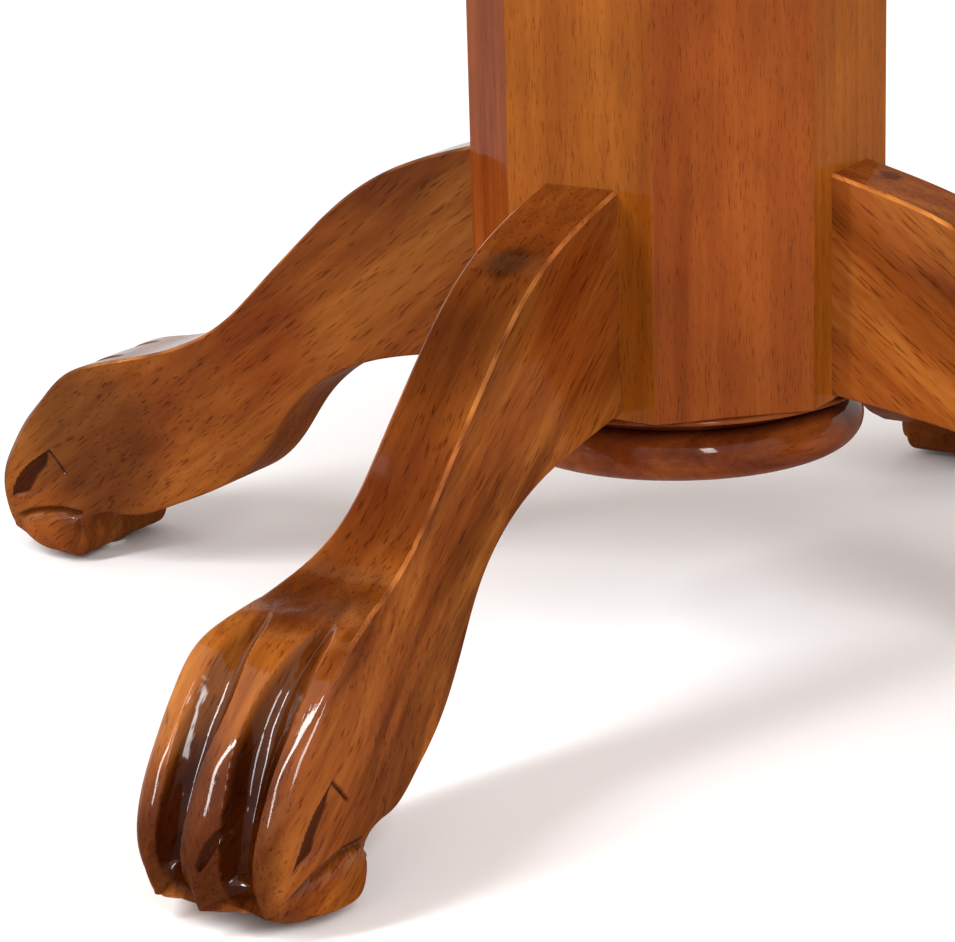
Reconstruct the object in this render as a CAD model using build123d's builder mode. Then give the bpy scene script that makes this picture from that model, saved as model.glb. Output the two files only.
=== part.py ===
from build123d import *
import math
import os

os.makedirs("parts", exist_ok=True)

# Round pedestal table. Origin on the floor, on the column's axis; +Z up, legs along X and Y. Millimetres.

# Table top
table_height = 762.0
top_diameter = 1219.0
top_thickness = 25.0
board_count = 8
edge_round = 6.0
edge_step = 3.0
edge_cove = 12.0
edge_step_height = 13.0

# Apron and its glue blocks
apron_radius = 545.0
apron_thickness = 20.0
apron_height = 65.0
apron_count = 8
block_depth = 38.0
block_width = 70.0
block_height = 55.0

# Bearers, half-lapped into a cross
bearer_length = 1040.0
bearer_width = 90.0
bearer_thickness = 32.0
bearer_taper_length = 90.0
bearer_taper_drop = 16.0

# Column of mitred staves
column_bottom = 155.0
column_across_flats = 203.2
stave_count = 8
stave_thickness = 22.0
stave_arris = 0.8
plug_thickness = 25.0

# Turned disc under the column
flange_radius = 104.5
flange_thickness = 2.6
groove_radius = 88.0
bead_center_radius = 86.0
bead_radius = 13.0
bead_center_drop = 23.0
nut_recess_radius = 19.0
nut_recess_depth = 14.0

# Legs
leg_thickness = 43.0
leg_top = 277.0
leg_bottom = 159.0
flare_start = 280.0
flare_end = 410.0
paw_width = 82.0
paw_reach = 449.0
toe_count = 3
sole_height = 3.0
claw_height = 13.0
heel_position = 384.0

# Hardware
clearance = 0.1
bolt_radius = 4.0
bolt_in_leg = 42.0
bolt_tail = 12.0
bolt_heights = (192.0, 243.0)
nut_radius = 7.5
nut_thickness = 6.5
washer_radius = 9.0
washer_thickness = 1.6
dowel_radius = 5.0
dowel_height = 217.5
dowel_in_leg = 25.0
dowel_in_stave = 12.0
rod_radius = 6.0
rod_nut_radius = 11.0
rod_nut_thickness = 8.0
rod_washer_radius = 16.0
rod_washer_thickness = 2.5
screw_shank_radius = 2.2
screw_head_radius = 4.4
screw_head_depth = 3.6
glide_radius = 9.0
glide_position = 393.0
glide_nail_radius = 1.2
glide_nail_length = 12.0

# Worked out from the above
apothem = column_across_flats / 2
top_radius = top_diameter / 2
top_underside = table_height - top_thickness
bearer_bottom = top_underside - bearer_thickness
column_top = bearer_bottom
column_height = column_top - column_bottom
stave_turn = 360.0 / stave_count
inner_apothem = apothem - stave_thickness
disc_bottom = column_bottom - bead_center_drop - bead_radius
board_width = top_diameter / board_count
apron_inner = apron_radius - apron_thickness
apron_turn = 360.0 / apron_count
leg_angles = [0.0, 90.0, 180.0, 270.0]
leg_names = ["leg_right", "leg_rear", "leg_left", "leg_front"]
half_leg = leg_thickness / 2
half_paw = paw_width / 2
toe_width = paw_width / toe_count


def turned(angle):
    """The ground plane turned about the column's axis."""
    return Plane.XY.rotated((0, 0, angle))


def save(builder, name):
    """Label a finished piece and write it to its own file."""
    builder.part.label = name
    export_step(builder.part, f"parts/{name}.step")


def wood_screw(length, extra=0.0):
    """Countersunk screw: its head's face at the origin and its shank down -Z."""
    head = screw_head_radius + extra
    shank = screw_shank_radius + extra
    with BuildPart() as screw:
        with BuildSketch(Plane.XZ):
            with BuildLine():
                Polyline(
                    (0, 0),
                    (head, 0),
                    (shank, -screw_head_depth),
                    (shank, -length + shank),
                    (0, -length),
                    close=True,
                )
            make_face()
        revolve(axis=Axis.Z)
    return screw.part


# Screw places: head positions, and the direction that the shank runs
top_screw_bite = 16.0
top_screw_rows = (200.0, 420.0)
top_screw_offset = 25.0
bearer_screw_bite = 20.0
block_screw_offset = 20.0
block_screw_bite = 14.0
top_screw_length = bearer_thickness + top_screw_bite
boards_out = (1.5, 2.5, 3.3)
arm_reach = [boards * board_width for boards in boards_out]
top_screw_points = [(side * x, 0.0) for side in (-1, 1) for x in arm_reach]
top_screw_points += [(side * top_screw_offset, y) for side in (-1, 1) for y in top_screw_rows]
top_screw_points += [(side * top_screw_offset, -y) for side in (-1, 1) for y in top_screw_rows]
top_screw_places = [Location((x, y, bearer_bottom), (180, 0, 0)) for x, y in top_screw_points]

bearer_screw_length = bearer_thickness + bearer_screw_bite
bearer_screw_offset = 28.0
bearer_screw_corners = [(-1, -1), (-1, 1), (1, -1), (1, 1)]
bearer_screw_places = [
    Location((x * bearer_screw_offset, y * bearer_screw_offset, top_underside))
    for x, y in bearer_screw_corners
]

disc_screw_length = 55.0
disc_screw_ring = 55.0
disc_screw_angles = (45, 135, 225, 315)
disc_screw_places = [
    Location(
        (
            disc_screw_ring * math.cos(math.radians(a)),
            disc_screw_ring * math.sin(math.radians(a)),
            disc_bottom,
        ),
        (180, 0, 0),
    )
    for a in disc_screw_angles
]

block_screw_length = 42.0
block_up_length = block_height + block_screw_bite
block_inner = apron_inner - block_depth
block_middle = top_underside - block_height / 2


def block_screw_place(joint_angle, across):
    """A radial screw from a glue block's inner face into the apron."""
    return turned(joint_angle).location * Location((block_inner, across, block_middle), (0, -90, 0))


def block_up_place(joint_angle):
    """A vertical screw up through a glue block into the top."""
    place = Location((apron_inner - block_depth / 2, 0, top_underside - block_height), (180, 0, 0))
    return turned(joint_angle).location * place


joint_angles = [apron_turn * (i + 0.5) for i in range(apron_count)]
apron_screw_places = [
    block_screw_place(a, side * block_screw_offset)
    for a in joint_angles
    for side in (-1, 1)
]
apron_up_places = [block_up_place(a) for a in joint_angles]

top_screw = wood_screw(top_screw_length)
top_screw_hole = wood_screw(top_screw_length, clearance)
bearer_screw = wood_screw(bearer_screw_length)
bearer_screw_hole = wood_screw(bearer_screw_length, clearance)
disc_screw = wood_screw(disc_screw_length)
disc_screw_hole = wood_screw(disc_screw_length, clearance)
block_screw = wood_screw(block_screw_length)
block_screw_hole = wood_screw(block_screw_length, clearance)
block_up_screw = wood_screw(block_up_length)
block_up_hole = wood_screw(block_up_length, clearance)


# Table top: a moulded disc, sawn into the boards that are glued edge to edge
with BuildPart() as top_blank:
    with BuildSketch(Plane.XZ):
        with BuildLine():
            step_height = top_underside + edge_step_height
            step_radius = top_radius - edge_step
            round_radius = top_radius - edge_round
            round_height = top_underside + edge_round
            Line((0, table_height), (0, top_underside))
            Line((0, top_underside), (round_radius, top_underside))
            RadiusArc((round_radius, top_underside), (top_radius, round_height), -edge_round)
            Line((top_radius, round_height), (top_radius, step_height))
            Line((top_radius, step_height), (step_radius, step_height))
            RadiusArc((step_radius, step_height), (step_radius - edge_cove, table_height), -edge_cove)
            Line((step_radius - edge_cove, table_height), (0, table_height))
        make_face()
    revolve(axis=Axis.Z)
    with Locations(*top_screw_places):
        add(top_screw_hole, mode=Mode.SUBTRACT)
    with Locations(*apron_up_places):
        add(block_up_hole, mode=Mode.SUBTRACT)

for i in range(board_count):
    middle = (i + 0.5 - board_count / 2) * board_width
    with BuildPart() as top_board:
        add(top_blank.part)
        with BuildSketch(Plane.XY.offset(top_underside)):
            with Locations((middle, 0)):
                Rectangle(board_width, top_diameter)
        extrude(amount=top_thickness, mode=Mode.INTERSECT)
    save(top_board, f"top_board_{i + 1}")


# Apron segments, butted end to end under the top
for i in range(apron_count):
    with BuildPart() as apron_segment:
        with BuildSketch(turned(i * apron_turn).offset(top_underside - apron_height)):
            with BuildLine():
                outer = CenterArc((0, 0), apron_radius, -apron_turn / 2, apron_turn)
                inner = CenterArc((0, 0), apron_inner, -apron_turn / 2, apron_turn)
                Line(outer @ 0, inner @ 0)
                Line(outer @ 1, inner @ 1)
            make_face()
        extrude(amount=apron_height)
        with Locations(*apron_screw_places):
            add(block_screw_hole, mode=Mode.SUBTRACT)
    save(apron_segment, f"apron_segment_{i + 1}")

# Glue blocks behind the apron's joints
for i, joint_angle in enumerate(joint_angles):
    with BuildPart() as apron_block:
        with BuildSketch(turned(joint_angle).offset(top_underside - block_height)):
            with Locations((apron_inner - block_depth / 2, 0)):
                Rectangle(block_depth, block_width)
            Circle(apron_inner, mode=Mode.INTERSECT)
        extrude(amount=block_height)
        with Locations(*apron_screw_places):
            add(block_screw_hole, mode=Mode.SUBTRACT)
        with Locations(*apron_up_places):
            add(block_up_hole, mode=Mode.SUBTRACT)
    save(apron_block, f"apron_block_{i + 1}")


# Bearers: the lower one runs along X and the upper one along Y, half-lapped at the middle
def bearer(angle, lap_plane):
    """A bearer with tapered ends, its half-lap cut from the plane given upwards, and its screw holes."""
    with BuildPart() as blank:
        with BuildSketch(turned(angle) * Plane.XZ):
            with BuildLine():
                end = bearer_length / 2
                Polyline(
                    (-end, top_underside),
                    (-end, bearer_bottom + bearer_taper_drop),
                    (-end + bearer_taper_length, bearer_bottom),
                    (end - bearer_taper_length, bearer_bottom),
                    (end, bearer_bottom + bearer_taper_drop),
                    (end, top_underside),
                    close=True,
                )
            make_face()
        extrude(amount=bearer_width / 2, both=True)
        with BuildSketch(Plane.XY.offset(lap_plane)):
            Rectangle(bearer_width, bearer_width)
        extrude(amount=bearer_thickness / 2, mode=Mode.SUBTRACT)
        with BuildSketch(Plane.XY.offset(bearer_bottom)):
            Circle(rod_radius + clearance)
        extrude(amount=bearer_thickness, mode=Mode.SUBTRACT)
        with BuildSketch(Plane.XY.offset(top_underside - nut_recess_depth)):
            Circle(nut_recess_radius)
        extrude(amount=nut_recess_depth, mode=Mode.SUBTRACT)
        with Locations(*top_screw_places):
            add(top_screw_hole, mode=Mode.SUBTRACT)
        with Locations(*bearer_screw_places):
            add(bearer_screw_hole, mode=Mode.SUBTRACT)
    return blank


save(bearer(0, top_underside - bearer_thickness / 2), "bearer_lower")
save(bearer(90, bearer_bottom), "bearer_upper")


# Column: mitred staves, the ones behind a leg bored for its bolts and dowel
stave_half_outer = apothem * math.tan(math.radians(stave_turn / 2))
stave_half_inner = inner_apothem * math.tan(math.radians(stave_turn / 2))
for i in range(stave_count):
    angle = i * stave_turn
    with BuildPart() as column_stave:
        with BuildSketch(turned(angle).offset(column_bottom)):
            with BuildLine():
                Polyline(
                    (apothem, -stave_half_outer),
                    (apothem, stave_half_outer),
                    (inner_apothem, stave_half_inner),
                    (inner_apothem, -stave_half_inner),
                    close=True,
                )
            stave_profile = make_face()
            chamfer(stave_profile.vertices().sort_by_distance((0, 0))[2:], length=stave_arris)
        extrude(amount=column_height)
        if angle in leg_angles:
            bolt_holes = [Location((0, 0, z), (0, 90, 0)) for z in bolt_heights]
            with Locations(*[turned(angle).location * hole for hole in bolt_holes]):
                Cylinder(
                    bolt_radius + clearance,
                    apothem + clearance,
                    align=(Align.CENTER, Align.CENTER, Align.MIN),
                    mode=Mode.SUBTRACT,
                )
            with Locations(turned(angle).location * Location((apothem, 0, dowel_height), (0, -90, 0))):
                Cylinder(
                    dowel_radius + clearance,
                    dowel_in_stave + clearance,
                    align=(Align.CENTER, Align.CENTER, Align.MIN),
                    mode=Mode.SUBTRACT,
                )
    save(column_stave, f"column_stave_{i + 1}")


def plug(bottom):
    """An eight-sided plug that fills the column's inside, bored for the tie rod."""
    with BuildPart() as blank:
        with BuildSketch(Plane.XY.offset(bottom)):
            RegularPolygon(inner_apothem, stave_count, major_radius=False, rotation=stave_turn / 2)
            Circle(rod_radius + clearance, mode=Mode.SUBTRACT)
        extrude(amount=plug_thickness)
        with Locations(*bearer_screw_places):
            add(bearer_screw_hole, mode=Mode.SUBTRACT)
        with Locations(*disc_screw_places):
            add(disc_screw_hole, mode=Mode.SUBTRACT)
    return blank


save(plug(column_top - plug_thickness), "column_top_plug")
save(plug(column_bottom), "column_bottom_plug")


# Base disc: thin flange, groove and half-round bead, recessed below for the tie rod's nut
with BuildPart() as base_disc:
    with BuildSketch(Plane.XZ):
        with BuildLine():
            bead_center = column_bottom - bead_center_drop
            bead_top = bead_center + bead_radius
            Line((0, disc_bottom), (0, column_bottom))
            Line((0, column_bottom), (flange_radius, column_bottom))
            Line((flange_radius, column_bottom), (flange_radius, column_bottom - flange_thickness))
            Line(
                (flange_radius, column_bottom - flange_thickness),
                (groove_radius, bead_top + flange_thickness),
            )
            Line((groove_radius, bead_top + flange_thickness), (bead_center_radius, bead_top))
            RadiusArc((bead_center_radius, bead_top), (bead_center_radius, disc_bottom), bead_radius)
            Line((bead_center_radius, disc_bottom), (0, disc_bottom))
        make_face()
    revolve(axis=Axis.Z)
    with BuildSketch(Plane.XY.offset(disc_bottom)):
        Circle(rod_radius + clearance)
    extrude(amount=column_bottom - disc_bottom, mode=Mode.SUBTRACT)
    with BuildSketch(Plane.XY.offset(disc_bottom)):
        Circle(nut_recess_radius)
    extrude(amount=nut_recess_depth, mode=Mode.SUBTRACT)
    with Locations(*disc_screw_places):
        add(disc_screw_hole, mode=Mode.SUBTRACT)
save(base_disc, "base_disc")


# Leg: sawn from the side to its S-curve and from above to its flare and toes
crest = [
    (apothem, leg_top), (140, 264), (200, 234), (245, 193),
    (275, 164), (305, 142), (345, 129), (380, 119),
]
belly = [(373, 31), (345, 34.5), (320, 42.5), (300, 51), (280, 62), (260, 80.5), (240, 108), (220, 126)]
belly += [(190, 141), (150, 150.5), (apothem, leg_bottom)]
toe_end = (paw_reach - 9, claw_height)
toe_front = (paw_reach, 40)
toe_knuckle = (428, 82)

with BuildPart() as leg_blank:
    with BuildSketch(Plane.XZ):
        with BuildLine():
            Spline(*crest)
            sole_front = (glide_position + glide_radius, sole_height)
            heel = (heel_position, sole_height)
            ThreePointArc(crest[-1], toe_knuckle, toe_front)
            Line(toe_front, toe_end)
            Line(toe_end, sole_front)
            Line(sole_front, heel)
            Line(heel, belly[0])
            Spline(*belly)
            Line(belly[-1], crest[0])
        make_face()
    extrude(amount=half_paw, both=True)
    with BuildSketch(Plane.XY):
        with BuildLine():
            toe_notch = (paw_reach - 12, toe_width / 2)
            toe_side = (paw_reach - 22, half_paw)
            Line((apothem, 0), (apothem, half_leg))
            Line((apothem, half_leg), (flare_start, half_leg))
            Spline((flare_start, half_leg), (flare_end, half_paw), tangents=((1, 0), (1, 0)))
            Line((flare_end, half_paw), toe_side)
            ThreePointArc(toe_side, (paw_reach - 7, toe_width), toe_notch)
            ThreePointArc(toe_notch, (paw_reach - 3, toe_width / 4), (paw_reach, 0))
            mirror(about=Plane.XZ)
        make_face()
    extrude(amount=leg_top, mode=Mode.INTERSECT)
    with Locations(*[Location((apothem, 0, z), (0, 90, 0)) for z in bolt_heights]):
        Cylinder(
            bolt_radius + clearance,
            bolt_in_leg + clearance,
            align=(Align.CENTER, Align.CENTER, Align.MIN),
            mode=Mode.SUBTRACT,
        )
    with Locations(Location((apothem, 0, dowel_height), (0, 90, 0))):
        Cylinder(
            dowel_radius + clearance,
            dowel_in_leg + clearance,
            align=(Align.CENTER, Align.CENTER, Align.MIN),
            mode=Mode.SUBTRACT,
        )
    with Locations((glide_position, 0, sole_height)):
        Cylinder(
            glide_nail_radius + clearance,
            glide_nail_length + clearance,
            align=(Align.CENTER, Align.CENTER, Align.MIN),
            mode=Mode.SUBTRACT,
        )

for name, angle in zip(leg_names, leg_angles):
    with BuildPart() as leg:
        add(leg_blank.part, rotation=(0, 0, angle))
    save(leg, name)


# Leg hardware: one group for each kind of fastener
def along_leg(angle, distance, height):
    """A place on a leg's centre line, its Z axis pointing out along the leg."""
    return turned(angle).location * Location((distance, 0, height), (0, 90, 0))


with BuildPart() as leg_bolts:
    bolt_length = bolt_tail + stave_thickness + bolt_in_leg
    bolt_start = inner_apothem - bolt_tail
    with Locations(*[along_leg(a, bolt_start, z) for a in leg_angles for z in bolt_heights]):
        Cylinder(bolt_radius, bolt_length, align=(Align.CENTER, Align.CENTER, Align.MIN))
save(leg_bolts, "leg_bolts")

with BuildPart() as leg_washers:
    washer_start = inner_apothem - washer_thickness
    with Locations(*[along_leg(a, washer_start, z) for a in leg_angles for z in bolt_heights]):
        Cylinder(washer_radius, washer_thickness, align=(Align.CENTER, Align.CENTER, Align.MIN))
        Cylinder(
            bolt_radius + clearance,
            washer_thickness,
            align=(Align.CENTER, Align.CENTER, Align.MIN),
            mode=Mode.SUBTRACT,
        )
save(leg_washers, "leg_washers")

with BuildPart() as leg_nut:
    with BuildSketch():
        RegularPolygon(nut_radius, 6)
        Circle(bolt_radius + clearance, mode=Mode.SUBTRACT)
    extrude(amount=nut_thickness)
with BuildPart() as leg_nuts:
    nut_start = inner_apothem - washer_thickness - nut_thickness
    with Locations(*[along_leg(a, nut_start, z) for a in leg_angles for z in bolt_heights]):
        add(leg_nut.part)
save(leg_nuts, "leg_nuts")

with BuildPart() as leg_dowels:
    with Locations(*[along_leg(a, apothem - dowel_in_stave, dowel_height) for a in leg_angles]):
        Cylinder(dowel_radius, dowel_in_stave + dowel_in_leg, align=(Align.CENTER, Align.CENTER, Align.MIN))
save(leg_dowels, "leg_dowels")


# Tie rod through the column, with a washer and a nut sunk in the recess at each end
rod_inset = 1.0
rod_bottom = disc_bottom + rod_inset
rod_top = top_underside - rod_inset
lower_seat = disc_bottom + nut_recess_depth
upper_seat = top_underside - nut_recess_depth

with BuildPart() as tie_rod:
    with BuildSketch(Plane.XY.offset(rod_bottom)):
        Circle(rod_radius)
    extrude(amount=rod_top - rod_bottom)
save(tie_rod, "tie_rod")

with BuildPart() as tie_rod_washers:
    for seat in (lower_seat - rod_washer_thickness, upper_seat):
        with BuildSketch(Plane.XY.offset(seat)):
            Circle(rod_washer_radius)
            Circle(rod_radius + clearance, mode=Mode.SUBTRACT)
        extrude(amount=rod_washer_thickness)
save(tie_rod_washers, "tie_rod_washers")

with BuildPart() as tie_rod_nuts:
    for seat in (lower_seat - rod_washer_thickness - rod_nut_thickness, upper_seat + rod_washer_thickness):
        with BuildSketch(Plane.XY.offset(seat)):
            RegularPolygon(rod_nut_radius, 6)
            Circle(rod_radius + clearance, mode=Mode.SUBTRACT)
        extrude(amount=rod_nut_thickness)
save(tie_rod_nuts, "tie_rod_nuts")


# Wood screws, one group for each job
with BuildPart() as top_screws:
    with Locations(*top_screw_places):
        add(top_screw)
save(top_screws, "top_screws")

with BuildPart() as bearer_screws:
    with Locations(*bearer_screw_places):
        add(bearer_screw)
save(bearer_screws, "bearer_screws")

with BuildPart() as base_disc_screws:
    with Locations(*disc_screw_places):
        add(disc_screw)
save(base_disc_screws, "base_disc_screws")

with BuildPart() as apron_screws:
    with Locations(*apron_screw_places):
        add(block_screw)
    with Locations(*apron_up_places):
        add(block_up_screw)
save(apron_screws, "apron_screws")


# Nail-on glides under the feet
with BuildPart() as foot_glide:
    with BuildSketch(Plane.XY):
        Circle(glide_radius)
    extrude(amount=sole_height)
    fillet(foot_glide.edges().group_by(Axis.Z)[0], radius=sole_height / 3)
    with BuildSketch(Plane.XY.offset(sole_height)):
        Circle(glide_nail_radius)
    extrude(amount=glide_nail_length)
with BuildPart() as foot_glides:
    with Locations(*[turned(a).location * Location((glide_position, 0, 0)) for a in leg_angles]):
        add(foot_glide.part)
save(foot_glides, "foot_glides")
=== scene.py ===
import math
import bpy
import numpy as np
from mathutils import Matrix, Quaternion, Vector


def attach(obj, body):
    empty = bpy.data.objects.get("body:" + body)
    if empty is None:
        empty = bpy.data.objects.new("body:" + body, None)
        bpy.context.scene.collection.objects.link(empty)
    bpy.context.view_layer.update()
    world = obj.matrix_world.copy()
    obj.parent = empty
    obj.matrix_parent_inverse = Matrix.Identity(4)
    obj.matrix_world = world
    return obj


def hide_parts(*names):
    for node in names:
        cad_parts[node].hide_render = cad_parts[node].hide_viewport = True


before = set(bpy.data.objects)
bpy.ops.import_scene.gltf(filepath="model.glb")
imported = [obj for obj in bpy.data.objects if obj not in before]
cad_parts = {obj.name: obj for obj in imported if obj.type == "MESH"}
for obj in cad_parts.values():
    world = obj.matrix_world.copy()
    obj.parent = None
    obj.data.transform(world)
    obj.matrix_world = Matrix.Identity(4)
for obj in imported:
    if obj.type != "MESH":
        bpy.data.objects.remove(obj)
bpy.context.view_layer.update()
mm = 0.001
rng = np.random.default_rng(7)

# shared helpers

def arcLength(curve):
    return np.concatenate([[0], np.cumsum(np.hypot(*np.diff(curve, axis=0).T))])


def smoothCurve(points, count):
    # natural cubic spline through the points, spaced by chord length, returned at equal steps of arc length
    knots = np.array(points, float)
    chord = arcLength(knots)
    gap = np.diff(chord)
    last = len(knots) - 1
    inner = np.arange(1, last)
    matrix = np.eye(last + 1)
    matrix[inner, inner - 1] = gap[:-1]
    matrix[inner, inner] = 2 * (gap[:-1] + gap[1:])
    matrix[inner, inner + 1] = gap[1:]
    slope = np.diff(knots, axis=0) / gap[:, None]
    change = np.zeros((last + 1, 2))
    change[inner] = 6 * (slope[1:] - slope[:-1])
    bend = np.linalg.solve(matrix, change)
    fine = np.linspace(0, chord[-1], 4000)
    i = np.clip(np.searchsorted(chord, fine, side="right") - 1, 0, last - 1)
    span = gap[i][:, None]
    past = (fine - chord[i])[:, None]
    left = span - past
    line = (bend[i] * left ** 3 + bend[i + 1] * past ** 3) / (6 * span)
    line += (knots[i] / span - bend[i] * span / 6) * left
    line += (knots[i + 1] / span - bend[i + 1] * span / 6) * past
    run = arcLength(line)
    even = np.linspace(0, run[-1], count)
    return np.stack([np.interp(even, run, line[:, k]) for k in (0, 1)], axis=1)


def smoothStep(x, low, high):
    # 0 below low, 1 above high, a cubic ease between
    t = np.clip((x - low) / (high - low), 0, 1)
    return t * t * (3 - 2 * t)


def gridFaces(rows, columns, closeRows=False, closeColumns=False):
    # quads of a rows-by-columns grid of points, closed round in either direction if asked
    i = np.arange(rows if closeRows else rows - 1)
    j = np.arange(columns if closeColumns else columns - 1)
    i, j = np.meshgrid(i, j, indexing="ij")
    i2 = (i + 1) % rows
    j2 = (j + 1) % columns
    corners = [i * columns + j, i * columns + j2, i2 * columns + j2, i2 * columns + j]
    return np.stack(corners, axis=-1).reshape(-1, 4)


def meshPiece(name, points, quads, ngons=(), smooth=True):
    # an object from an array of points in metres, quads and a few larger faces; normals are turned outwards
    volume = 0.0
    for k in (1, 2):
        a, b, c = points[quads[:, 0]], points[quads[:, k]], points[quads[:, k + 1]]
        volume += np.einsum("ij,ij->i", a, np.cross(b, c)).sum()
    for loop in ngons:
        a = points[loop[0]]
        b, c = points[loop[1:-1]], points[loop[2:]]
        volume += np.einsum("j,ij->i", a, np.cross(b, c)).sum()
    if volume < 0:
        quads = quads[:, ::-1]
        ngons = [loop[::-1] for loop in ngons]
    mesh = bpy.data.meshes.new(name)
    mesh.from_pydata(points.tolist(), [], quads.tolist() + [list(map(int, loop)) for loop in ngons])
    mesh.update()
    mesh.polygons.foreach_set("use_smooth", np.full(len(mesh.polygons), smooth))
    piece = bpy.data.objects.new(name, mesh)
    bpy.context.scene.collection.objects.link(piece)
    return piece


def settle(piece, material, slot, *nodes):
    # give a finished piece its material and its body, and hide the nodes that it stands for
    piece.data.materials.clear()
    piece.data.materials.append(material)
    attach(piece, "root")
    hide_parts(*nodes)
    return piece


def sharpen(piece, angle):
    # edges sharper than the angle, in degrees, shade as corners
    piece.data.set_sharp_from_angle(angle=math.radians(angle))
    return piece


# wood

def link(tree, a, b):
    tree.links.new(a, b)


def node(tree, kind, inputs=None, **settings):
    n = tree.nodes.new(kind)
    for key, value in settings.items():
        setattr(n, key, value)
    for key, value in (inputs or {}).items():
        n.inputs[key].default_value = value
    return n


def ramp(tree, stops):
    n = tree.nodes.new("ShaderNodeValToRGB")
    e = n.color_ramp.elements
    e.remove(e[-1])
    e[0].position, e[0].color = stops[0][0], (*stops[0][1], 1)
    for position, color in stops[1:]:
        e.new(position).color = (*color, 1)
    return n


def spread(tree, source, low, high, top, bottom=0.0):
    # a soft mask: bottom where the source is below low, top where it is above high
    n = node(tree, "ShaderNodeMapRange", interpolation_type="SMOOTHSTEP",
             inputs={"From Min": low, "From Max": high, "To Min": bottom, "To Max": top})
    link(tree, source, n.inputs["Value"])
    return n.outputs[0]


def tint(tree, color, mask, shade):
    # the colour multiplied by a shade wherever the mask is up
    n = node(tree, "ShaderNodeMix", data_type="RGBA", blend_type="MULTIPLY", inputs={"B": (*shade, 1)})
    link(tree, mask, n.inputs["Factor"])
    link(tree, color, n.inputs["A"])
    return n.outputs["Result"]


def noise(tree, place, scale, detail, roughness=0.5, distortion=0.0):
    n = node(tree, "ShaderNodeTexNoise",
             inputs={"Scale": scale, "Detail": detail, "Roughness": roughness, "Distortion": distortion})
    link(tree, place, n.inputs["Vector"])
    return n.outputs


def drawnOut(tree, place, draw, shift=(0, 0, 0)):
    # squeezing X pulls whatever is drawn there out along the grain
    n = node(tree, "ShaderNodeMapping", inputs={"Scale": (draw, 1, 1), "Location": shift})
    link(tree, place, n.inputs[0])
    return n.outputs[0]


def pushed(tree, place, push, amount):
    # the place moved by the push times the amount
    scaled = node(tree, "ShaderNodeVectorMath", operation="SCALE", inputs={"Scale": amount})
    link(tree, push, scaled.inputs[0])
    moved = node(tree, "ShaderNodeVectorMath", operation="ADD")
    link(tree, place, moved.inputs[0])
    link(tree, scaled.outputs[0], moved.inputs[1])
    return moved.outputs[0]


def figure(tree, bent, look):
    # broad soft bands, with fine growth lines over them
    both = node(tree, "ShaderNodeMix", data_type="FLOAT", inputs={"Factor": look["lineShare"]})
    link(tree, noise(tree, bent, look["figure"], 4.0, 0.6)["Fac"], both.inputs["A"])
    link(tree, noise(tree, bent, look["lines"], 2.0)["Fac"], both.inputs["B"])
    tone = ramp(tree, look["tones"])
    link(tree, both.outputs["Result"], tone.inputs[0])
    return tone.outputs[0]


def heartPatches(tree, color, turned, look):
    # dark heartwood, drawn out less than the grain
    place = drawnOut(tree, turned, look["heartDraw"], look["shift"])
    cloud = noise(tree, place, look["heartScale"], 5.0, 0.6, 0.9)["Fac"]
    mask = spread(tree, cloud, look["heartFrom"], look["heartFrom"] + 0.14, look["heart"])
    return tint(tree, color, mask, look["heartShade"])


def poreDashes(tree, turned, look):
    # a mask of short fine dashes along the grain
    cloud = noise(tree, drawnOut(tree, turned, look["poreDraw"]), look["poreScale"], 1.5)["Fac"]
    return spread(tree, cloud, 0.56, 0.72, look["pores"])


def stainDrift(tree, color, place, look):
    # the stain is slowly darker and lighter over the piece
    cloud = noise(tree, place, look["driftScale"], 3.0, 0.55)["Fac"]
    level = spread(tree, cloud, 0.3, 0.7, 1.0 + look["drift"], 1.0 - look["drift"])
    stained = node(tree, "ShaderNodeVectorMath", operation="SCALE")
    link(tree, color, stained.inputs[0])
    link(tree, level, stained.inputs["Scale"])
    return stained.outputs[0]


def toneAndLightPatches(tree, color, place, look):
    # broad patches of darker or lighter colour, each a warped ball round a point: knots and swirls of the
    # wood, and painted shade and painted light
    for centre, reach, shade in look["patches"]:
        away = node(tree, "ShaderNodeVectorMath", operation="DISTANCE")
        away.inputs[1].default_value = centre
        link(tree, place, away.inputs[0])
        mask = spread(tree, away.outputs["Value"], reach * 0.45, reach, 0.0, 1.0)
        color = tint(tree, color, mask, shade)
    return color


def carvedShadeAndHighlight(tree, color, look):
    # painted shade and pooled stain in the carved hollows, the paw darker towards the floor, and a painted
    # highlight along the arrises, each where the piece's own attribute says
    for label, shade in (("carved", look["grime"]), ("arrisHighlight", look["arrisHighlightTint"])):
        mask = node(tree, "ShaderNodeAttribute", attribute_name=label)
        color = tint(tree, color, mask.outputs["Fac"], shade)
    return color


def clearCoat(tree, shader, look):
    # faces that look up were rubbed to a fuller gloss than the upright ones
    facing = node(tree, "ShaderNodeNewGeometry")
    split = node(tree, "ShaderNodeSeparateXYZ")
    link(tree, facing.outputs["Normal"], split.inputs[0])
    uprightCoat, levelCoat = look["coat"]
    weight = spread(tree, split.outputs["Z"], 0.1, 0.85, levelCoat, uprightCoat)
    link(tree, weight, shader.inputs["Coat Weight"])
    shader.inputs["Coat Roughness"].default_value = look["coatRoughness"]
    shader.inputs["Coat IOR"].default_value = 1.5


def relief(tree, shader, place, pores, look):
    # sunken pores, and a slight wave left by the brush
    rise = node(tree, "ShaderNodeMath", operation="MULTIPLY_ADD")
    link(tree, pores, rise.inputs[0])
    rise.inputs[1].default_value = -0.1
    link(tree, noise(tree, place, look["ripple"], 1.5)["Fac"], rise.inputs[2])
    bump = node(tree, "ShaderNodeBump", inputs={"Strength": look["bump"], "Distance": 0.0006})
    link(tree, rise.outputs[0], bump.inputs["Height"])
    link(tree, bump.outputs[0], shader.inputs["Normal"])
    link(tree, bump.outputs[0], shader.inputs["Coat Normal"])


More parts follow.
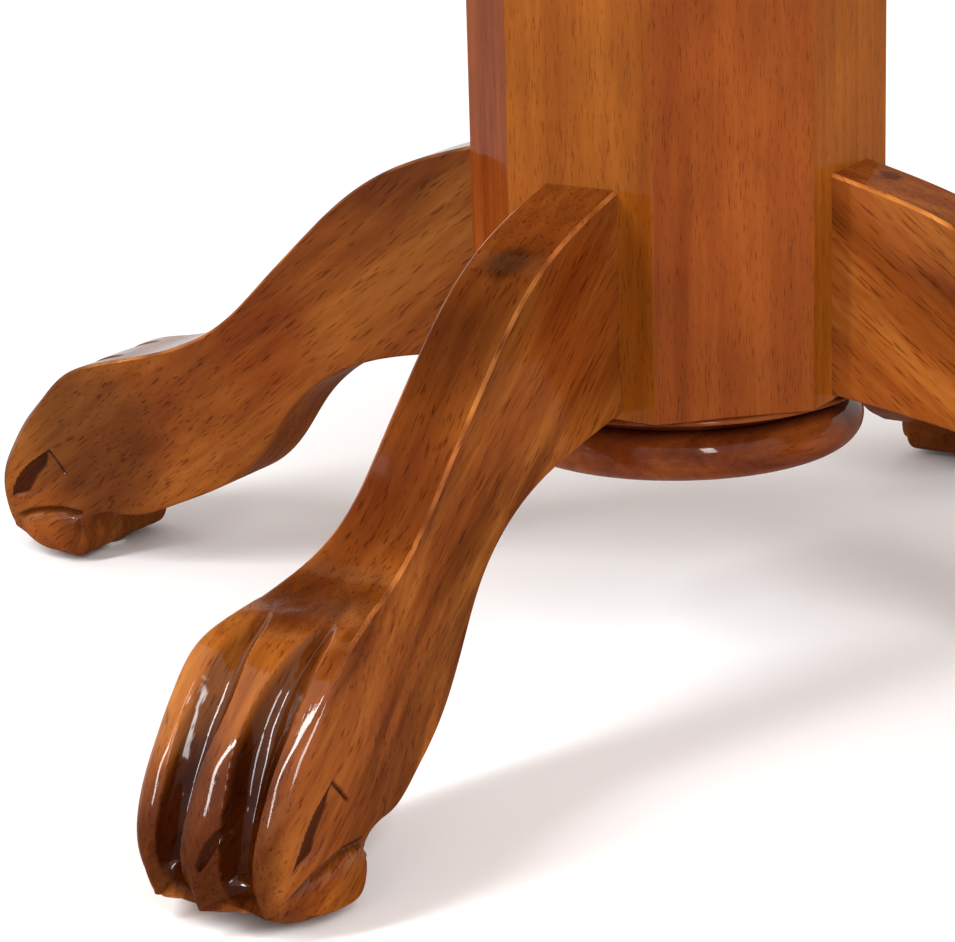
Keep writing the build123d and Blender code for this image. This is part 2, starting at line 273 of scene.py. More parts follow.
def lacqueredWood(name, look):
    # soft figure and growth lines along the grain, dark heart patches and fine pores, under a clear coat
    material = bpy.data.materials.new(name)
    material.use_nodes = True
    tree = material.node_tree
    tree.nodes.clear()
    out = node(tree, "ShaderNodeOutputMaterial")
    shader = node(tree, "ShaderNodeBsdfPrincipled")
    link(tree, shader.outputs[0], out.inputs[0])
    place = node(tree, "ShaderNodeTexCoord").outputs["Object"]
    turn = node(tree, "ShaderNodeMapping", vector_type="TEXTURE", inputs={"Rotation": look["grain"]})
    link(tree, place, turn.inputs[0])
    turned = turn.outputs[0]  # the grain now runs along X
    # a slow warp bends the grain and the edges of the patches
    along = drawnOut(tree, turned, look["draw"], look["shift"])
    warp = node(tree, "ShaderNodeVectorMath", operation="SUBTRACT")
    link(tree, noise(tree, along, 7.0, 2.0)["Color"], warp.inputs[0])
    warp.inputs[1].default_value = (0.5, 0.5, 0.5)
    color = figure(tree, pushed(tree, along, warp.outputs[0], look["warp"]), look)
    color = heartPatches(tree, color, turned, look)
    pores = poreDashes(tree, turned, look)
    color = tint(tree, color, pores, look["poreShade"])
    color = stainDrift(tree, color, place, look)
    color = toneAndLightPatches(tree, color, pushed(tree, place, warp.outputs[0], look["wander"]), look)
    if look["grime"]:
        color = carvedShadeAndHighlight(tree, color, look)
    link(tree, color, shader.inputs["Base Color"])
    shader.inputs["Roughness"].default_value = look["roughness"]
    shader.inputs["Specular IOR Level"].default_value = look["gleam"]
    shader.inputs["Specular Tint"].default_value = (*look["gleamTint"], 1)
    clearCoat(tree, shader, look)
    relief(tree, shader, place, pores, look)
    return material


# tones run from late wood to early wood; draw is the squeeze that pulls a feature out along the grain; coat
# is first for upright faces, then for level ones
woodLook = {
    "grain": (0, 0, 0), "shift": (0, 0, 0), "draw": 0.1, "warp": 0.05, "wander": 0.06,
    "tones": ((0.3, (0.17, 0.035, 0.006)), (0.5, (0.3, 0.075, 0.012)), (0.7, (0.42, 0.13, 0.022))),
    "figure": 26.0, "lines": 170.0, "lineShare": 0.3,
    "heart": 0.7, "heartFrom": 0.58, "heartDraw": 0.3, "heartScale": 9.0, "heartShade": (0.36, 0.27, 0.22),
    "pores": 0.6, "poreDraw": 0.09, "poreScale": 1500.0, "poreShade": (0.4, 0.28, 0.2),
    # the hollow mask's colour is painted shade and stain; the arris tint is a painted highlight
    "drift": 0.16, "driftScale": 8.0, "patches": (), "grime": None, "arrisHighlightTint": (2.6, 3.4, 4.5),
    "roughness": 0.3, "gleam": 0.0, "gleamTint": (0.42, 0.2, 0.09), "coat": (0.1, 0.6),
    "coatRoughness": 0.06, "ripple": 60.0, "bump": 0.25,
}


def wood(name, **changes):
    return lacqueredWood(name, {**woodLook, **changes})


# legs with carved paws

leg = {
    # side outline, millimetres: distance from the column's axis and height above the floor
    "crest": [(101.6, 274.6), (140, 264), (170, 252.5), (200, 234), (230, 207.6), (260, 178.6), (290, 151.5),
              (320, 136), (350, 127.8), (376, 121.6), (387, 117), (404.5, 101.5), (418.5, 85.5), (430, 69),
              (438, 53), (442.5, 37), (442, 26), (439, 17)],
    "belly": [(101.6, 158), (150, 150.6), (190, 141), (220, 126), (240, 108), (260, 80.5), (280, 61.8),
              (300, 51), (320, 42.5), (345, 34.5), (371, 31.5), (377.5, 25), (378.5, 14), (383, 5), (393, 3),
              (406, 4), (422, 9.5), (434, 15)],
    # points of the crest and of the belly that share a section
    "pairs": [((101.6, 274.6), (101.6, 158)), ((245, 193), (220, 126)), ((290, 151.5), (260, 80.5)),
              ((345, 129), (300, 51)), ((378, 120), (343, 35)), ((403, 101), (371, 31.5)),
              ((426, 75), (378.5, 14)), ((442.5, 37), (393, 3)), ((439, 17), (434, 15))],
    # half the width at each distance from the axis
    "flareAt": (101, 275, 290, 305, 320, 335, 350, 365, 380, 390, 400, 415, 445),
    "flare": (21.7, 21.5, 22.2, 23.8, 26.2, 28.6, 31.5, 34.8, 38.2, 40.4, 41.8, 42.4, 42.4),
    "clawTaper": 8.5, "bulge": 8.5, "arris": 2.0, "pawArris": 5.5, "fluteStart": 361.0, "sole": 3.0,
    # stations on the plain leg and on the paw; points over the crest, down a side, under the belly and
    # round a corner
    "plainRows": 100, "pawRows": 190, "topPoints": 128, "sidePoints": 76, "lowPoints": 30, "cornerPoints": 5,
}


def legShape():
    # section after section runs from the column to the claws; each joins a point of the crest to a point of
    # the belly and is a rounded rectangle: x across the leg, y from belly to crest
    crest = smoothCurve(leg["crest"], 3000)
    belly = smoothCurve(leg["belly"], 3000)
    crestRun, bellyRun = arcLength(crest), arcLength(belly)
    outgoing = slice(0, 2200)  # the stretch of the crest that still runs outwards
    fluteAt = np.interp(leg["fluteStart"], crest[outgoing, 0], crestRun[outgoing])
    # stations: wide apart on the plain leg, close on the paw
    pawAt = fluteAt - 12
    station = np.concatenate([np.linspace(0, pawAt, leg["plainRows"])[:-1],
                              np.linspace(pawAt, crestRun[-1], leg["pawRows"])])
    pairs = np.array(leg["pairs"], float)
    keyTop = crestRun[np.argmin(np.linalg.norm(crest[None] - pairs[:, None, 0], axis=2), axis=1)]
    keyLow = bellyRun[np.argmin(np.linalg.norm(belly[None] - pairs[:, None, 1], axis=2), axis=1)]
    answer = np.interp(station, keyTop, keyLow)
    padded = np.pad(answer, 7, mode="reflect", reflect_type="odd")
    answer = np.convolve(padded, np.ones(15) / 15, mode="valid")
    top = np.stack([np.interp(station, crestRun, crest[:, k]) for k in (0, 1)], axis=1)
    low = np.stack([np.interp(answer, bellyRun, belly[:, k]) for k in (0, 1)], axis=1)
    along = np.gradient(top, axis=0)
    along /= np.linalg.norm(along, axis=1, keepdims=True)
    outward = np.stack([-along[:, 1], along[:, 0]], axis=1)
    up = top - low
    height = np.linalg.norm(up, axis=1)
    up /= height[:, None]
    xi = station - fluteAt  # run down the paw from where its flutes begin
    half = np.interp(top[:, 0], leg["flareAt"], leg["flare"])
    half = np.convolve(np.pad(half, 6, mode="edge"), np.ones(13) / 13, mode="valid")
    half -= leg["clawTaper"] * np.clip((xi - 103) / 45, 0, 1) ** 1.8
    radius = leg["arris"] + (leg["pawArris"] - leg["arris"]) * smoothStep(xi, 15, 75)
    radius = np.minimum(radius, height * 0.42)
    # the section's loop goes over the crest, down one side, under the belly and up the other side
    q = np.linspace(0, np.pi / 2, leg["cornerPoints"] + 2)[1:-1]
    across = np.linspace(-1, 1, leg["topPoints"])
    sideRun = np.linspace(1, 0, leg["sidePoints"])
    lowRun = np.linspace(1, -1, leg["lowPoints"])
    h, r, tall = half[:, None], radius[:, None], height[:, None]
    x = np.concatenate([across * (h - r), (h - r) + r * np.sin(q), 0 * sideRun + h, (h - r) + r * np.cos(q),
                        lowRun * (h - r), -(h - r) - r * np.sin(q), 0 * sideRun - h,
                        -(h - r) - r * np.cos(q)], axis=1)
    y = np.concatenate([0 * across + tall, (tall - r) + r * np.cos(q), r + sideRun * (tall - 2 * r),
                        r - r * np.sin(q), 0 * lowRun + 0 * tall, r - r * np.cos(q),
                        r + sideRun[::-1] * (tall - 2 * r), (tall - r) + r * np.sin(q)], axis=1)
    place = low[:, None, :] + up[:, None, :] * y[..., None]
    return x, place, outward[:, None, :], xi[:, None], half[:, None]


# the two gouged scoops: the middle line's distance from the paw's middle, half the width, and the depth, all
# at runs down the paw from where the scoops begin; skew steepens the wall towards the middle toe
flute = {
    "centreAt": (0, 25, 55, 75, 90, 120, 150), "centre": (18.0, 18.8, 17.6, 17.8, 18.2, 18.6, 17.5),
    "wideAt": (-1, 3, 12, 25, 45, 58, 75, 90, 105, 125, 150),
    "wide": (0.05, 3.4, 6.6, 9.0, 11.6, 12.2, 11.2, 9.8, 9.0, 8.2, 7.2),
    "deepAt": (-1, 4, 14, 30, 55, 75, 95, 120, 134, 138, 150),
    "deep": (0, 1.8, 4.2, 6.8, 9.0, 10.6, 11.6, 11.0, 8.6, 2.4, 1.8), "skew": 0.22,
}
toe = {"middleHalf": 11.0, "outerAt": 35.0, "outerHalf": 8.0, "crown": 2.4, "clawAt": 30.5, "claw": 4.6}
nick = {"start": (107.0, 11.0), "end": (129.0, 1.5), "halfWidth": 3.0, "depth": 2.6}
# edges of the notch behind the outer toe, as distances from the column's axis at heights above the floor
notch = {
    "rearAt": (34, 37, 38, 40, 44, 49, 54, 62, 69),
    "rear": (434, 426, 419, 408, 399, 393, 388, 394.5, 401),
    "frontAt": (34, 43, 51, 59, 64, 69), "front": (434, 430, 425, 417, 409, 401),
    "facet": 11.0, "depth": 2.1, "chips": 0.45, "cut": 1.2,
}
# height of the crease over the pad, at distances from the column's axis, and the dome under it
pad = {
    "creaseAt": (366, 377, 395, 409, 420, 429, 441), "crease": (32, 32, 33, 31, 28, 24, 19),
    "centre": (398, 12), "reach": (34, 26), "rise": 4.6, "groove": 2.4, "cuts": 0.55,
}


def flutes(xi, s):
    # depth of the scoops at a run xi down the paw and a distance s across it: deep times (1 - u^2), u being
    # the distance from the scoop's middle line over half its width
    centre = np.interp(xi, flute["centreAt"], flute["centre"])
    u = (np.abs(s) - centre) / np.interp(xi, flute["wideAt"], flute["wide"])
    skewed = u + flute["skew"] * (1 - u * u)
    deep = np.interp(xi, flute["deepAt"], flute["deep"])
    return deep * np.clip(1 - skewed * skewed, 0, None) * (np.abs(u) < 1)


def toeCrowns(xi, s):
    # each toe's face falls away with the square of the distance from its middle; its end narrows to a claw
    across = np.abs(s)
    share = smoothStep(across, 14, 21)
    middle = np.clip(across / toe["middleHalf"], 0, 1) ** 2
    outer = np.clip(np.abs(across - toe["outerAt"]) / toe["outerHalf"], 0, 1.2) ** 2
    crown = (middle * (1 - share) + outer * share) * toe["crown"] * smoothStep(xi, 40, 95)
    tip = np.abs(across - np.where(across > 16, toe["clawAt"], 0.0))
    claw = np.clip((tip - 1.0) / 7.5, 0, 1) * toe["claw"] * smoothStep(xi, 112, 150)
    return crown + claw


def leafNick(xi, s):
    # a gouge mark low on the middle toe, V-shaped across, its width along it the root of 4 t (1 - t)
    start, end = np.array(nick["start"]), np.array(nick["end"])
    run = end - start
    size = np.linalg.norm(run)
    t = ((xi - start[0]) * run[0] + (s - start[1]) * run[1]) / size ** 2
    away = ((xi - start[0]) * run[1] - (s - start[1]) * run[0]) / size
    width = nick["halfWidth"] * np.sqrt(np.clip(4 * t * (1 - t), 0, 1)) + 1e-6
    return nick["depth"] * np.clip(1 - np.abs(away) / width, 0, 1) * (t > 0) * (t < 1)


def leafNotch(r, z):
    # rise of the flat side, and its painted shade and stain: a facet falls from the notch's front edge, the
    # floor rises to nothing at the rear edge, and a knife cut runs from the apex to the rear corner
    low, high = notch["rearAt"][0], notch["rearAt"][-1]
    rear = np.interp(z, notch["rearAt"], notch["rear"])
    front = np.interp(z, notch["frontAt"], notch["front"])
    wide = np.maximum(front - rear, 0.3)
    facet = np.minimum(notch["facet"], wide * 0.42)
    inside = (r > rear) & (r < front) & (z > low) & (z < high)
    fall = np.clip(np.minimum((front - r) / facet, (r - rear) / (wide - facet)), 0, 1)
    deep = notch["depth"] * fall * np.clip(wide / 14, 0, 1)
    chips = notch["chips"] * np.abs(np.sin((r * 0.55 + z * 0.83) * 0.6)) * fall
    cut = np.clip((z - 54) / 2, 0, 1) * np.exp(-((r - rear - 1.4) / 1.5) ** 2)
    rise = np.where(inside, chips - deep - notch["cut"] * cut, 0)
    shadeAndStain = np.where(inside, np.clip((r - front + facet * 1.2) / 2, 0, 1) + cut + 0.3 * fall, 0)
    return rise, shadeAndStain


def sidePad(r, z):
    # rise of the flat side, and the painted shade in its crease: a low dome under a chiselled crease that
    # slants down to the claw
    under = np.interp(r, pad["creaseAt"], pad["crease"]) - z
    offR = (r - pad["centre"][0]) / pad["reach"][0]
    offZ = (z - pad["centre"][1]) / pad["reach"][1]
    dome = np.clip(1 - offR ** 2 - offZ ** 2, 0, 1) ** 0.5
    swell = np.where(under > 0, pad["rise"] * dome * np.clip(under / 6, 0, 1) ** 0.7, 0)
    ends = smoothStep(r, 368, 377) * (1 - smoothStep(r, 424, 438))
    groove = np.exp(-((under - 0.4) / 1.6) ** 2) * ends
    near = np.exp(-((under - 5) / 2.8) ** 2) * ends * (1 - smoothStep(r, 408, 424))
    cuts = pad["cuts"] * np.sin((r * 0.4 + z) * 1.3) * near
    return swell - pad["groove"] * groove + cuts, 0.75 * groove


def loopParts(columns):
    # how far each column of the grid faces forward, which ones lie underneath, and where the two sides are
    nTop, nSide = leg["topPoints"], leg["sidePoints"]
    nLow, nCorner = leg["lowPoints"], leg["cornerPoints"]
    front = np.zeros(columns)
    front[:nTop] = 1
    front[nTop:nTop + nCorner] = np.linspace(0.85, 0.15, nCorner)
    front[-nCorner:] = np.linspace(0.15, 0.85, nCorner)
    belly = nTop + nCorner + nSide
    under = np.zeros(columns)
    under[belly:belly + nCorner * 2 + nLow] = 1
    sides = ((slice(nTop + nCorner, belly), 1), (slice(columns - nCorner - nSide, columns - nCorner), -1))
    return front, under, sides


def carve():
    # the leg's grid of points with the paw carved, and how strong the painted shade and stain are at each
    x, place, outward, xi, half = legShape()
    front, under, sides = loopParts(x.shape[1])
    scoops, leaf = flutes(xi, x), leafNick(xi, x)
    depth = (scoops + toeCrowns(xi, x) + leaf) * front
    place -= outward * depth[..., None]
    bow = leg["bulge"] * (1 - (x / half) ** 2)  # the paw's face is bowed across
    place[..., 0] += bow * smoothStep(xi, 18, 85) * front
    # the web between the claws stands a little above their tips
    tip = np.abs(np.abs(x) - np.where(np.abs(x) > 16, 30.0, 0.0))
    drop = np.where(np.abs(x) > 16, 3.8, 2.2)
    place[..., 1] -= drop * np.clip(1 - (tip / 6.0) ** 2, 0, 1) * smoothStep(xi, 125, 145)
    place[..., 0] += bow * smoothStep(xi, 100, 147) * under
    # painted shade in the scoops, the deeper ones darker, and in the nick; the paw's front is darker towards
    # the floor
    shadeAndStain = np.clip(scoops * front / 4.2, 0, 0.92) * (0.8 + 0.2 * smoothStep(xi, 30, 90))
    shadeAndStain = np.clip(shadeAndStain + 0.8 * smoothStep(xi, 52, 130) * front + 1.2 * leaf * front, 0, 1)
    # both flat sides, eased out towards their long edges
    count = np.arange(leg["sidePoints"])
    edge = np.clip(np.minimum(count, count[::-1]) / 3.0, 0, 1)
    for part, sign in sides:
        notchRise, notchShadeAndStain = leafNotch(place[:, part, 0], place[:, part, 1])
        padRise, padCreaseShade = sidePad(place[:, part, 0], place[:, part, 1])
        x[:, part] += sign * (notchRise + padRise) * edge
        shadeAndStain[:, part] = np.clip(notchShadeAndStain + padCreaseShade, 0, 1) * edge
    # the carver's slight unevenness
    wave = np.sin(place[..., 0] / 7.1 + x / 9.0) * np.sin(place[..., 1] / 8.3 - x / 11.0)
    place[..., 0] += 0.35 * wave * smoothStep(xi, 30, 80)
    return x, place, shadeAndStain, xi


def paintedArrisHighlights(xi, columns):
    # a painted highlight along the two upper arrises of the plain leg, brighter in some stretches than in
    # others
    nTop, nCorner = leg["topPoints"], leg["cornerPoints"]
    arrisHighlight = np.zeros((len(xi), columns))
    arrisHighlight[:, nTop:nTop + nCorner] = 1
    arrisHighlight[:, -nCorner:] = 1
    return arrisHighlight * (1 - smoothStep(xi, 0, 40)) * (0.55 + 0.45 * np.sin(xi / 17.0) * np.sin(xi / 5.3 + 1))


def carvedLeg(name, angle, material):
    x, place, shadeAndStain, xi = carve()
    rows, columns = x.shape
    a = math.radians(angle)
    points = np.empty((rows, columns, 3))
    points[..., 0] = place[..., 0] * math.cos(a) - x * math.sin(a)
    points[..., 1] = place[..., 0] * math.sin(a) + x * math.cos(a)
    points[..., 2] = np.maximum(place[..., 1], leg["sole"])
    quads = gridFaces(rows, columns, closeColumns=True)
    ends = [np.arange(columns)[::-1], (rows - 1) * columns + np.arange(columns)]
    piece = meshPiece(name, points.reshape(-1, 3) * mm, quads, ends)
    # the carved mask carries painted shade and stain, the arris mask a painted highlight
    for label, values in (("carved", shadeAndStain), ("arrisHighlight", paintedArrisHighlights(xi, columns))):
        layer = piece.data.attributes.new(label, "FLOAT", "POINT")
        layer.data.foreach_set("value", values.reshape(-1).astype(np.float32))
    sharpen(piece, 40)
    return settle(piece, material, "leg_wood", name)


legGrain = math.radians(38)  # the plank's grain falls from the column to the paw
legTones = ((0.3, (0.11, 0.022, 0.004)), (0.5, (0.2, 0.051, 0.008)), (0.7, (0.32, 0.105, 0.017)))
# patches in millimetres: ((out from the column's axis, across the leg, height), reach, shade)
legs = {
    # along the tops of the front and rear legs the broad dark patches are painted shade over the wood's own
    # darker streak; the pale patch on the pad at (398, 44, 14) is painted light, on the left leg too; the
    # small dark spots are knots and the left foot's dark patch is a swirl in the grain
    "leg_front": {"turn": -90, "shift": (0.3, 0.1, 0.2), "bright": 0.98, "coat": (0.08, 0.7), "patches": (
        ((172, 6, 252), 17, (0.42, 0.42, 0.5)), ((205, 0, 272), 72, (0.62, 0.62, 0.68)),
        ((135, 24, 215), 62, (0.72, 0.55, 0.5)), ((245, 0, 236), 68, (0.38, 0.36, 0.45)),
        ((290, 0, 175), 58, (0.5, 0.42, 0.5)), ((343, -4, 142), 42, (0.45, 0.38, 0.45)),
        ((403, -6, 106), 50, (1.5, 1.75, 1.4)), ((438, 10, 55), 50, (0.76, 0.7, 0.62)),
        ((332, 28, 108), 4.5, (0.4, 0.38, 0.4)), ((398, 44, 14), 27, (1.7, 1.8, 1.5)))},
    "leg_left": {"turn": 180, "shift": (1.7, 0.5, 0.9), "bright": 0.72, "coat": (0.08, 0.7), "patches": (
        ((359, 36, 78), 58, (0.56, 0.58, 0.74)), ((252, 21, 154), 48, (0.86, 0.7, 0.62)),
        ((398, 44, 14), 26, (1.3, 1.3, 1.2)))},
    "leg_right": {"turn": 0, "shift": (2.9, 1.1, 0.4), "bright": 1.2, "coat": (0.08, 0.1), "patches": (
        ((121, 9, 272), 7, (0.45, 0.42, 0.45)),)},
    "leg_rear": {"turn": 90, "shift": (4.1, 0.7, 1.6), "bright": 0.8, "coat": (0.08, 0.7), "patches": (
        ((245, 0, 236), 66, (0.55, 0.55, 0.62)),)},
}


def scaled(tones, k):
    return tuple((at, tuple(c * k for c in color)) for at, color in tones)


def turnedPatches(patches, a):
    # the patches carried round to where their leg stands, in metres
    spots = []
    for (r, s, z), reach, shade in patches:
        x = r * math.cos(a) - s * math.sin(a)
        y = r * math.sin(a) + s * math.cos(a)
        spots.append(((x * mm, y * mm, z * mm), reach * mm, shade))
    return spots


for name, one in legs.items():
    a = math.radians(one["turn"])
    finish = wood("finish_" + name, grain=(0, legGrain, a), shift=one["shift"], coat=one["coat"],
                  tones=scaled(legTones, one["bright"]), patches=turnedPatches(one["patches"], a),
                  # the colour laid over the carved mask: painted shade and stain in the hollows
                  grime=(0.2, 0.15, 0.14), heartFrom=0.54, heart=0.8, poreScale=800.0, pores=0.75)
    carvedLeg(name, one["turn"], finish)
print("legs carved")

# column of eight staves

# flats is the distance from the axis to a face; tints scale each stave's tones, redder below 1
column = {"flats": 101.6, "wall": 22.0, "arris": 2.6, "bottom": 155.0, "top": 705.0, "count": 8, "rows": 40,
          "endArris": 0.5, "tints": (1.0, 1.05, 0.92, 1.04, 0.9, 0.8, 1.01, 0.82)}


def stave(name, angle, material):
    # outline: half of the rounded arris at each mitre, the flat face between, and the inner face; carried up
    turn = math.pi / column["count"]
    face, r = column["flats"], column["arris"]
    inner = face - column["wall"]
    reach = face * math.tan(turn)
    drop = r * math.tan(turn)
    q = np.linspace(turn, 0, 6)
    roundX = face - r + r * np.cos(q)
    roundY = (reach - drop) + r * np.sin(q)
    flatY = np.linspace(reach - drop, -(reach - drop), 14)[1:-1]
    outlineX = np.concatenate([roundX, 0 * flatY + face, roundX[::-1], [inner, inner]])
    innerReach = inner * math.tan(turn)
    outlineY = np.concatenate([roundY, flatY, -roundY[::-1], [-innerReach, innerReach]])
    tall = column["top"] - column["bottom"]
    z = np.concatenate([[0, 0.6], np.linspace(12, tall - 12, column["rows"]), [tall - 0.6, tall]])
    pull = np.zeros(len(z))
    pull[[0, -1]] = column["endArris"]
    a = math.radians(angle)
    out = outlineX[None, :] - pull[:, None] * (outlineX[None, :] > inner + 1)
    aside = outlineY[None, :] + 0 * pull[:, None]
    points = np.stack([out * math.cos(a) - aside * math.sin(a), out * math.sin(a) + aside * math.cos(a),
                       np.broadcast_to((z + column["bottom"])[:, None], out.shape)], axis=-1)
    rows, columns = out.shape
    ends = [np.arange(columns)[::-1], (rows - 1) * columns + np.arange(columns)]
    piece = meshPiece(name, points.reshape(-1, 3) * mm, gridFaces(rows, columns, closeColumns=True), ends)
    sharpen(piece, 30)
    return settle(piece, material, "column_wood", name)


upright = (0, math.radians(-90), 0)  # grain runs up the column
for i, k in enumerate(column["tints"]):
    tones = ((0.3, (0.18 * k, 0.042 * k * k, 0.004)), (0.5, (0.255 * k, 0.069 * k * k, 0.007)),
             (0.7, (0.33 * k, 0.102 * k * k, 0.011)))
    finish = wood(f"finish_stave_{i + 1}", grain=upright, shift=tuple(rng.uniform(0, 5, 3)), tones=tones,
                  heart=0.3, draw=0.07)
    stave(f"column_stave_{i + 1}", i * 360 / column["count"], finish)
print("column staves stood")

# turned disc under the column

disc = {"flange": 104.5, "flangeEdge": 2.6, "groove": 88.0, "bead": 13.0, "beadAt": 86.0, "drop": 23.0,
        "recess": 19.0, "recessDepth": 14.0, "bore": 6.1, "segments": 256}


def turnedDisc():
    # the outline from the bore up and round to the bore again, spun about the column's axis
    top = column["bottom"]
    low = top - disc["drop"] - disc["bead"]
    q = np.linspace(math.radians(96), math.radians(-90), 40)
    beadR = disc["beadAt"] + disc["bead"] * np.cos(q)
    beadZ = top - disc["drop"] + disc["bead"] * np.sin(q)
    e = np.linspace(math.pi / 2, -math.pi / 2, 9)
    lip = disc["flangeEdge"] / 2
    edgeR = disc["flange"] - lip + lip * np.cos(e)
    edgeZ = top - lip + lip * np.sin(e)
    s = np.linspace(0, 1, 10)[1:-1]
    coveR = disc["flange"] - 3 - (disc["flange"] - 3 - disc["groove"]) * s ** 0.6
    coveZ = top - disc["flangeEdge"] - 0.2 - 4.2 * s ** 2.2
    r = np.concatenate([[disc["bore"]], np.linspace(12, 96, 6), edgeR, coveR, beadR,
                        np.linspace(78, disc["recess"] + 1, 8),
                        [disc["recess"], disc["recess"], disc["bore"]]])
    z = np.concatenate([[top], np.full(6, top), edgeZ, coveZ, beadZ, np.full(8, low),
                        [low + 0.6, low + disc["recessDepth"], low + disc["recessDepth"]]])
    a = np.linspace(0, 2 * math.pi, disc["segments"], endpoint=False)
    height = np.repeat(z[:, None], len(a), axis=1)
    points = np.stack([r[:, None] * np.cos(a), r[:, None] * np.sin(a), height], axis=-1)
    quads = gridFaces(len(r), len(a), closeRows=True, closeColumns=True)
    piece = meshPiece("base_disc", points.reshape(-1, 3) * mm, quads)
    return sharpen(piece, 50)


discTones = ((0.3, (0.07, 0.012, 0.003)), (0.5, (0.13, 0.025, 0.005)), (0.7, (0.22, 0.055, 0.01)))
discFinish = wood("finish_base_disc", grain=(0, 0, math.radians(70)), shift=(0.4, 1.3, 2.2), heartFrom=0.5,
                  coat=(0.2, 0.6), tones=discTones)
settle(turnedDisc(), discFinish, "disc_wood", "base_disc")
print("disc turned")

# the pieces whose modelled shape stays

def repaint(name, material):
    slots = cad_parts[name].material_slots
    for i in range(len(slots)):
        slots[i].link = "OBJECT"
        slots[i].material = material


boardTones = ((0.3, (0.16, 0.04, 0.008)), (0.5, (0.245, 0.072, 0.014)), (0.7, (0.32, 0.108, 0.022)))
for i in range(8):
    tones = scaled(boardTones, rng.uniform(0.9, 1.1))
    repaint(f"top_board_{i + 1}", wood(f"finish_board_{i + 1}", grain=(0, 0, math.radians(90)), tones=tones,
                                       shift=tuple(rng.uniform(0, 5, 3)), draw=0.06, heartFrom=0.6,
                                       coat=(0.1, 0.3), coatRoughness=0.2))
    repaint(f"apron_segment_{i + 1}", wood(f"finish_apron_{i + 1}", grain=(0, 0, math.radians(45 * i + 90)),
                                           tones=tones, shift=tuple(rng.uniform(0, 5, 3))))
bareLook = {"gleam": 0.15, "coat": (0.0, 0.0), "roughness": 0.6, "draw": 0.08,
            "tones": ((0.3, (0.38, 0.2, 0.09)), (0.5, (0.52, 0.31, 0.16)), (0.7, (0.64, 0.42, 0.24)))}
bare = wood("finish_inner", shift=(0.2, 2.2, 0.7), **bareLook)
for name in [f"apron_block_{i + 1}" for i in range(8)]:
    repaint(name, bare)
for name in ("bearer_lower", "column_top_plug", "column_bottom_plug", "leg_dowels"):
    repaint(name, bare)
repaint("bearer_upper", wood("finish_inner_across", grain=(0, 0, math.radians(90)), shift=(1.2, 0.2, 1.7),
                             **bareLook))


def plain(name, color, metallic, roughness, scale):
    # metal or plastic with faint mottling in its colour and roughness
    material = bpy.data.materials.new(name)
    material.use_nodes = True
    tree = material.node_tree
    shader = tree.nodes["Principled BSDF"]
    shader.inputs["Metallic"].default_value = metallic
    place = node(tree, "ShaderNodeTexCoord").outputs["Object"]
    mottle = noise(tree, place, scale, 4.0)["Fac"]
    tone = ramp(tree, ((0.3, tuple(0.75 * c for c in color)), (0.7, color)))
    link(tree, mottle, tone.inputs[0])
    link(tree, tone.outputs[0], shader.inputs["Base Color"])
    rough = spread(tree, mottle, 0.3, 0.7, roughness + 0.08, roughness - 0.08)
    link(tree, rough, shader.inputs["Roughness"])
    bump = node(tree, "ShaderNodeBump", inputs={"Strength": 0.15, "Distance": 0.0002})
    link(tree, mottle, bump.inputs["Height"])
    link(tree, bump.outputs[0], shader.inputs["Normal"])
    return material


zinc = plain("zinc_plate", (0.62, 0.62, 0.6), 1.0, 0.32, 420.0)
for name in ("leg_bolts", "leg_washers", "leg_nuts", "tie_rod", "tie_rod_washers", "tie_rod_nuts",
             "top_screws", "bearer_screws", "base_disc_screws", "apron_screws"):
    repaint(name, zinc)
repaint("foot_glides", plain("glide_nylon", (0.72, 0.7, 0.66), 0.0, 0.4, 300.0))
print("other pieces finished")

# floor, light and camera

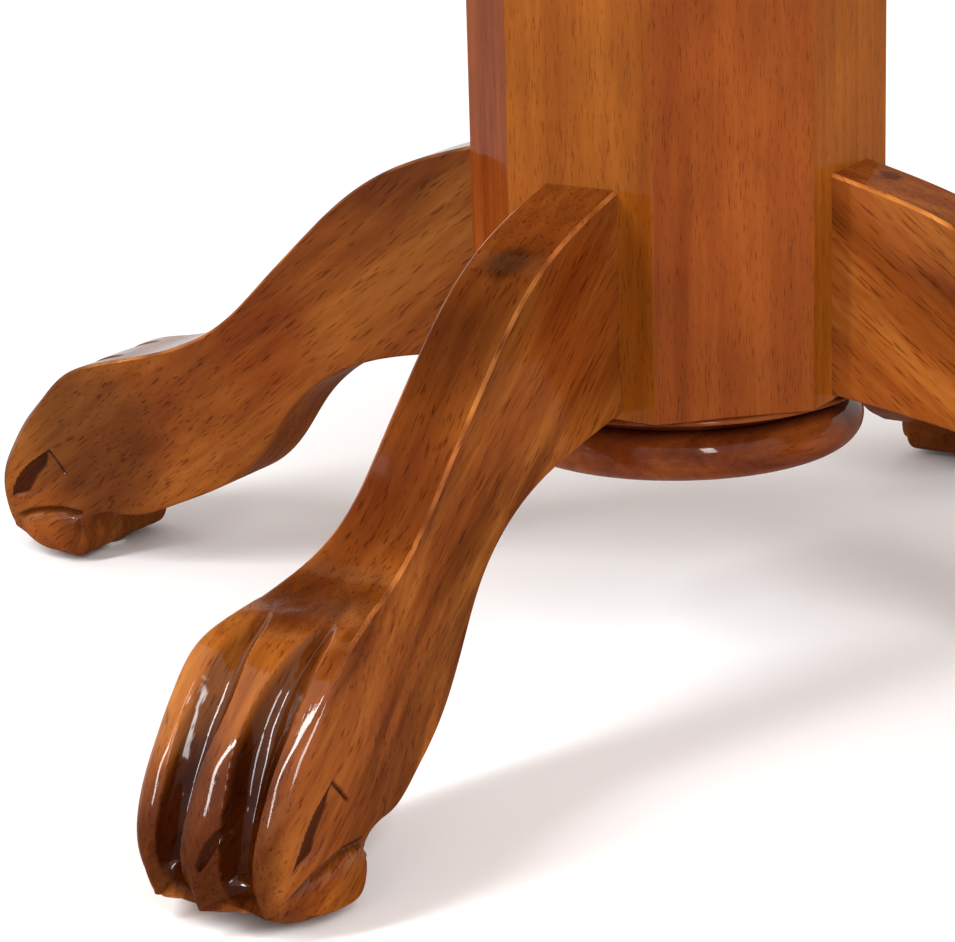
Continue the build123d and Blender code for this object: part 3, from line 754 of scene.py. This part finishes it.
studio = {"floorReach": 9.0, "floorColor": (0.95, 0.95, 0.95, 1), "light": 1.0}
floorCorners = np.array([(-1, -1, 0), (1, -1, 0), (1, 1, 0), (-1, 1, 0)]) * studio["floorReach"]
floorMesh = meshPiece("floor", floorCorners, np.array([[0, 1, 2, 3]]))
paper = bpy.data.materials.new("paper")
paper.use_nodes = True
paper.node_tree.nodes["Principled BSDF"].inputs["Base Color"].default_value = studio["floorColor"]
paper.node_tree.nodes["Principled BSDF"].inputs["Roughness"].default_value = 0.9
floorMesh.data.materials.append(paper)

world = bpy.data.worlds.new("studio")
bpy.context.scene.world = world
world.use_nodes = True
world.node_tree.nodes["Background"].inputs["Color"].default_value = (1, 1, 1, 1)
world.node_tree.nodes["Background"].inputs["Strength"].default_value = studio["light"]


def softbox(name, position, target, size, power):
    data = bpy.data.lights.new(name, "AREA")
    data.shape = "RECTANGLE"
    data.size, data.size_y = size
    data.energy = power
    lamp = bpy.data.objects.new(name, data)
    lamp.location = position
    lamp.rotation_euler = (Vector(target) - Vector(position)).to_track_quat("-Z", "Y").to_euler()
    bpy.context.scene.collection.objects.link(lamp)


softbox("left", (-1.2, -2.5, 2.2), (0, -0.35, 0.1), (0.36, 2.3), 92)
softbox("right", (2.2, -2.0, 2.1), (0, -0.35, 0.1), (0.45, 1.3), 52)

# the camera stands at reach and azimuth from the column's axis, looks down by pitch, aside by yaw, and leans
# by roll; lens is its focal length in widths of the frame
view = {"reach": 1.8125, "azimuth": 28.64, "height": 0.6443, "pitch": 16.71, "yaw": -3.46, "roll": -1.67,
        "lens": 3.6577, "sensor": 36}
a = math.radians(view["azimuth"])
camera = bpy.data.objects.new("camera", bpy.data.cameras.new("camera"))
bpy.context.scene.collection.objects.link(camera)
camera.data.sensor_width = view["sensor"]
camera.data.lens = view["sensor"] * view["lens"]
camera.location = (view["reach"] * math.sin(a), -view["reach"] * math.cos(a), view["height"])
heading = a - math.radians(view["yaw"])
pitch = math.radians(view["pitch"])
ahead = Vector((-math.sin(heading) * math.cos(pitch), math.cos(heading) * math.cos(pitch), -math.sin(pitch)))
turnUp = ahead.to_track_quat("-Z", "Y")
camera.rotation_mode = "QUATERNION"
camera.rotation_quaternion = turnUp @ Quaternion((0, 0, 1), math.radians(view["roll"]))
bpy.context.scene.camera = camera
bpy.context.scene.view_settings.view_transform = "Standard"
print("camera set")
